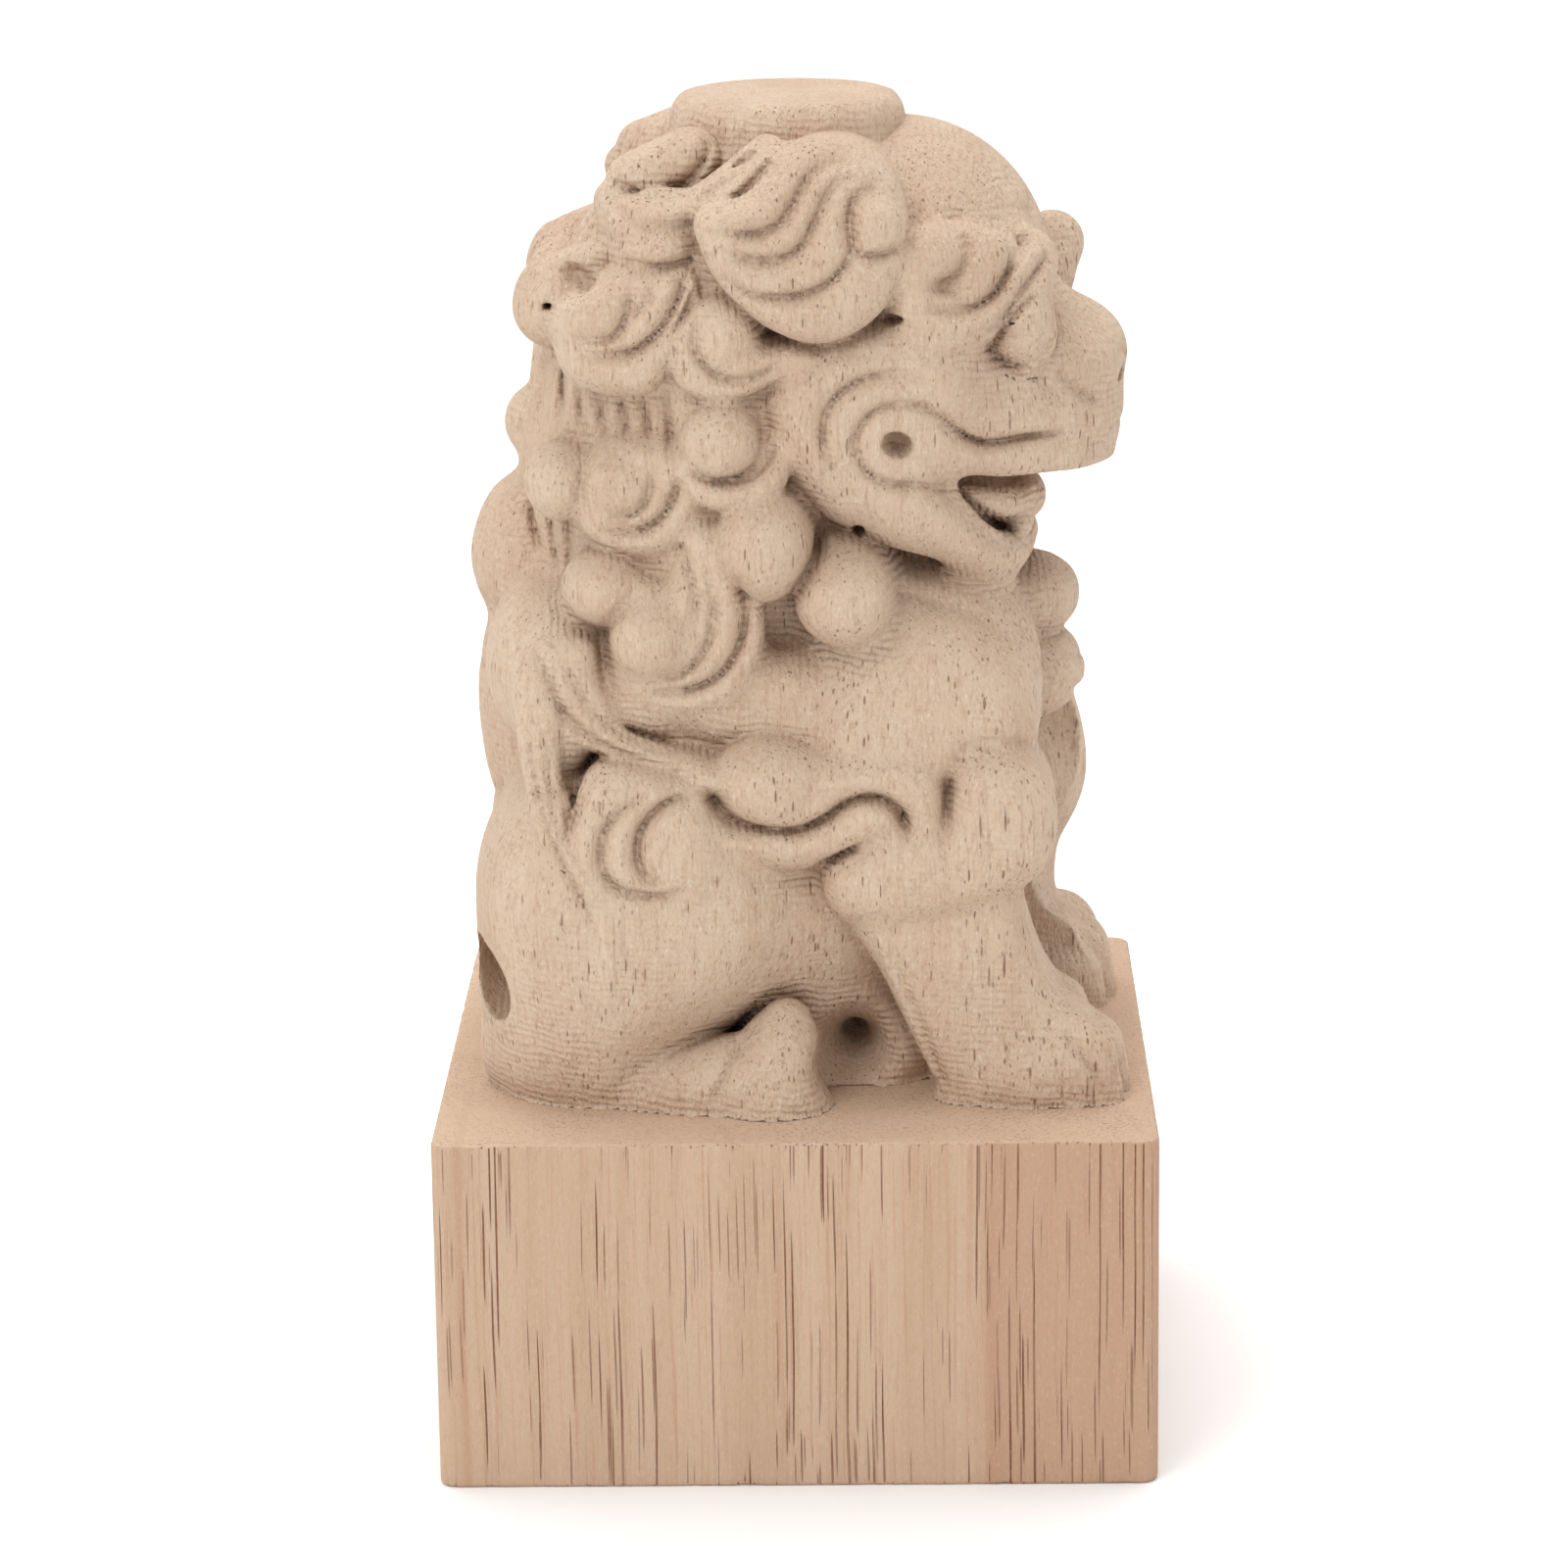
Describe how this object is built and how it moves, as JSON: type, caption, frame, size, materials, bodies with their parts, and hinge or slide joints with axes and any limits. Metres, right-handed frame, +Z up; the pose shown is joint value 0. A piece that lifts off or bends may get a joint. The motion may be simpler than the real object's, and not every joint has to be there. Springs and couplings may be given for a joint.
{
  "type": "carved guardian lion finial",
  "caption": "Unfinished wooden carving of a seated guardian lion on a square plinth, with a round flat pad on its head; stands free or caps a post.",
  "frame": {"origin": "middle of the plinth's underside", "axes": "+Z up through the head pad, +X the way the lion looks, -Y its near (right-hand) flank"},
  "size_m": [0.08, 0.08, 0.15],
  "materials": {
    "plinth_wood": "raw planed side grain with open brown pores",
    "carved_wood": "raw machine-carved surface with fine cutter ridges and raised fibres",
    "pad_wood": "raw end grain on the flat top, turned rim"
  },
  "bodies": {
    "root": {"plinth": "plinth_wood", "head_pad": "pad_wood", "torso": "carved_wood", "tail": "carved_wood", "mane": "carved_wood", "skull": "carved_wood", "muzzle": "carved_wood", "lower_jaw": "carved_wood", "beard_lock": "carved_wood", "chest_lock": "carved_wood", "nape_nub": "carved_wood", "haunch_near": "carved_wood", "haunch_far": "carved_wood", "hind_foot_near": "carved_wood", "hind_foot_far": "carved_wood", "haunch_curl_near": "carved_wood", "haunch_curl_far": "carved_wood", "haunch_flame_near": "carved_wood", "haunch_flame_far": "carved_wood", "shoulder_near": "carved_wood", "shoulder_far": "carved_wood", "foreleg_near": "carved_wood", "foreleg_far": "carved_wood", "forepaw_near": "carved_wood", "forepaw_far": "carved_wood", "elbow_cloud_near": "carved_wood", "elbow_cloud_far": "carved_wood", "jowl_near": "carved_wood", "jowl_far": "carved_wood", "eye_near": "carved_wood", "eye_far": "carved_wood", "brow_near": "carved_wood", "brow_far": "carved_wood", "ear_near": "carved_wood", "ear_far": "carved_wood", "crown_curl_near": "carved_wood", "crown_curl_far": "carved_wood", "temple_lock_near": "carved_wood", "temple_lock_far": "carved_wood", "back_curl_near": "carved_wood", "back_curl_far": "carved_wood", "ear_curl_near": "carved_wood", "ear_curl_far": "carved_wood", "cheek_bun_near": "carved_wood", "cheek_bun_far": "carved_wood", "jaw_bun_near": "carved_wood", "jaw_bun_far": "carved_wood", "throat_bun_near": "carved_wood", "throat_bun_far": "carved_wood", "neck_swirl_near": "carved_wood", "neck_swirl_far": "carved_wood", "shoulder_swirl_near": "carved_wood", "shoulder_swirl_far": "carved_wood", "side_bun_near": "carved_wood", "side_bun_far": "carved_wood", "nape_bun_near": "carved_wood", "nape_bun_far": "carved_wood"}
  },
  "joints": []
}
